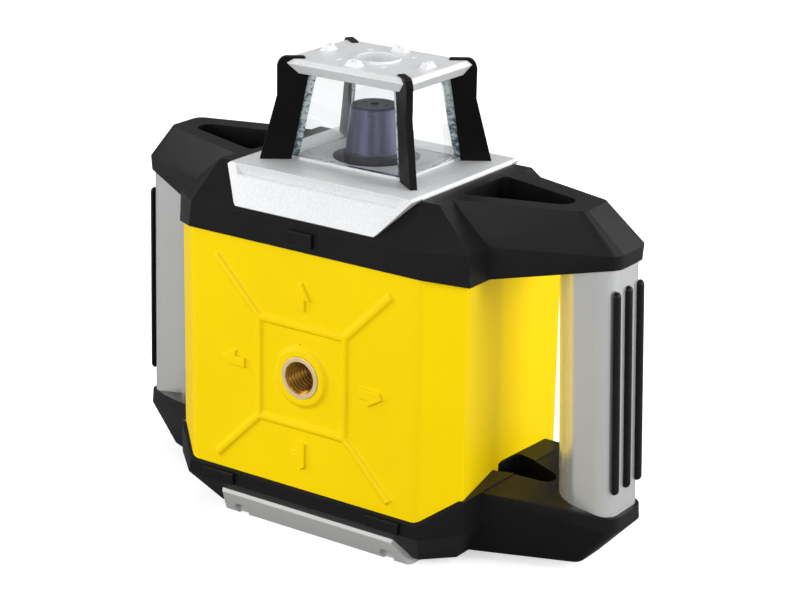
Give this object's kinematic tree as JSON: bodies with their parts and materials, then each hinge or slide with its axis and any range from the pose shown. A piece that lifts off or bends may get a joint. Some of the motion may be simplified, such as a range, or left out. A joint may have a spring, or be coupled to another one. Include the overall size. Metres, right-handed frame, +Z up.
{
  "type": "rotating laser level",
  "caption": "Rotating laser level with a glass-caged rotor head, self-levelling gimbal, two side grips, rubber bumpers, battery door and tripod threads in base and back.",
  "frame": {"origin": "middle of the base's underside, on the rotor's axis", "axes": "+Z up along the rotor's axis, +Y towards the back with the second tripod thread, -Y towards the control panel, +X towards one grip"},
  "size_m": [0.278, 0.1228, 0.2279],
  "materials": {
    "yellow_shell": "satin moulded plastic",
    "black_rubber": "soft-touch overmould",
    "seal_rubber": "matt",
    "grip_plastic": "satin",
    "dark_panel": "fine texture",
    "black_plastic": "satin",
    "key_grey": "silicone",
    "key_green": "silicone",
    "silver_cap": "bead-blasted, clear anodised",
    "cast_silver": "cast, painted silver",
    "machined_alu": "machined",
    "rotor_anodised": "violet-grey anodised",
    "rotor_dark": "dark anodised",
    "cage_glass": "clear float glass, ground edges",
    "optic_glass": "coated",
    "steel": "bright",
    "brass": "turned",
    "board_green": "solder resist",
    "lamp_red": "clear red light guide",
    "cell_label": "printed sleeve"
  },
  "bodies": {
    "case": {"main_housing": "yellow_shell", "front_cover": "dark_panel", "upper_bumper": "black_rubber", "lower_bumper": "black_rubber", "left_grip": "grip_plastic", "right_grip": "grip_plastic", "grip_ribs": "black_rubber", "rear_feet": "black_rubber", "top_cap": "silver_cap", "cap_gasket": "seal_rubber", "cage_plate": "silver_cap", "cage_legs": "black_plastic", "glass_panes": "cage_glass", "rotor_bezel": "silver_cap", "base_plate": "cast_silver", "base_gasket": "seal_rubber", "base_insert": "brass", "rear_insert": "brass", "base_screws": "steel", "cover_screws": "steel", "x_pivot_pins": "steel", "laser_chassis": "cast_silver", "chassis_screws": "steel", "level_motors": "steel", "main_board": "board_green", "tact_switches": "black_plastic", "status_lights": "lamp_red", "battery_tray": "black_plastic", "battery_cells": "cell_label", "contact_springs": "steel", "door_hinge_pin": "steel"},
    "gimbal": {"gimbal_ring": "machined_alu", "y_pivot_pins": "steel"},
    "platform": {"tilt_platform": "machined_alu", "upper_bearing": "steel", "lower_bearing": "steel", "rotor_motor": "steel", "drive_belt": "seal_rubber", "collimator_tube": "rotor_dark", "collimator_lens": "optic_glass", "laser_diode": "brass", "level_vials": "optic_glass"},
    "rotor": {"rotor_head": "rotor_anodised", "rotor_collar": "rotor_dark", "rotor_window": "optic_glass", "rotor_prism": "optic_glass", "rotor_spindle": "steel", "rotor_pulley": "black_plastic"},
    "motor_shaft": {"motor_pulley": "black_plastic"},
    "rear_screw": {"rear_level_screw": "steel"},
    "side_screw": {"side_level_screw": "steel"},
    "rear_nut": {"rear_level_nut": "brass"},
    "side_nut": {"side_level_nut": "brass"},
    "door": {"battery_door": "dark_panel"},
    "latch": {"door_latch": "key_grey"},
    "power_key": {"power_button": "key_green"},
    "mode_key": {"mode_button": "key_grey"},
    "up_key": {"up_button": "key_grey"},
    "down_key": {"down_button": "key_grey"}
  },
  "joints": [
    {"name": "tilt_fore_aft", "type": "hinge", "parent": "case", "child": "gimbal", "pos_m": [0, 0, 0.143], "axis": [1, 0, 0], "range_deg": [-5, 5]},
    {"name": "tilt_side", "type": "hinge", "parent": "gimbal", "child": "platform", "pos_m": [0, 0, 0.143], "axis": [0, 1, 0], "range_deg": [-5, 5]},
    {"name": "rotor_spin", "type": "hinge", "parent": "platform", "child": "rotor", "pos_m": [0, 0, 0.143], "axis": [0, 0, 1], "continuous": true},
    {"name": "motor_spin", "type": "hinge", "parent": "platform", "child": "motor_shaft", "pos_m": [-0.022, 0, 0.143], "axis": [0, 0, 1], "continuous": true},
    {"name": "rear_screw_turn", "type": "hinge", "parent": "case", "child": "rear_screw", "pos_m": [0, 0.044, 0.12], "axis": [0, 0, 1], "range_deg": [-539.4, 539.4]},
    {"name": "side_screw_turn", "type": "hinge", "parent": "case", "child": "side_screw", "pos_m": [0.044, 0, 0.12], "axis": [0, 0, 1], "range_deg": [-539.4, 539.4]},
    {"name": "rear_nut_travel", "type": "slide", "parent": "case", "child": "rear_nut", "axis": [0, 0, 1], "range_m": [-0.00303, 0.00303]},
    {"name": "side_nut_travel", "type": "slide", "parent": "case", "child": "side_nut", "axis": [0, 0, 1], "range_m": [-0.00303, 0.00303]},
    {"name": "door_hinge", "type": "hinge", "parent": "case", "child": "door", "pos_m": [0, -0.0566, 0.0336], "axis": [1, 0, 0], "range_deg": [0, 90]},
    {"name": "latch_turn", "type": "hinge", "parent": "door", "child": "latch", "pos_m": [0, -0.0595, 0.079], "axis": [0, -1, 0], "range_deg": [0, 90]},
    {"name": "power_press", "type": "slide", "parent": "case", "child": "power_key", "axis": [0, 1, 0], "range_m": [0, 0.0008], "stiffness_N_per_m": 600},
    {"name": "mode_press", "type": "slide", "parent": "case", "child": "mode_key", "axis": [0, 1, 0], "range_m": [0, 0.0008], "stiffness_N_per_m": 600},
    {"name": "up_press", "type": "slide", "parent": "case", "child": "up_key", "axis": [0, 1, 0], "range_m": [0, 0.0008], "stiffness_N_per_m": 600},
    {"name": "down_press", "type": "slide", "parent": "case", "child": "down_key", "axis": [0, 1, 0], "range_m": [0, 0.0008], "stiffness_N_per_m": 600}
  ],
  "couplings": [
    {"joint": "motor_spin", "follows": "rotor_spin", "ratio": 2.75},
    {"joint": "rear_nut_travel", "follows": "tilt_fore_aft", "m_per_rad": 0.034},
    {"joint": "side_nut_travel", "follows": "tilt_side", "m_per_rad": -0.034},
    {"joint": "rear_screw_turn", "follows": "tilt_fore_aft", "ratio": -106.81},
    {"joint": "side_screw_turn", "follows": "tilt_side", "ratio": 106.81}
  ]
}
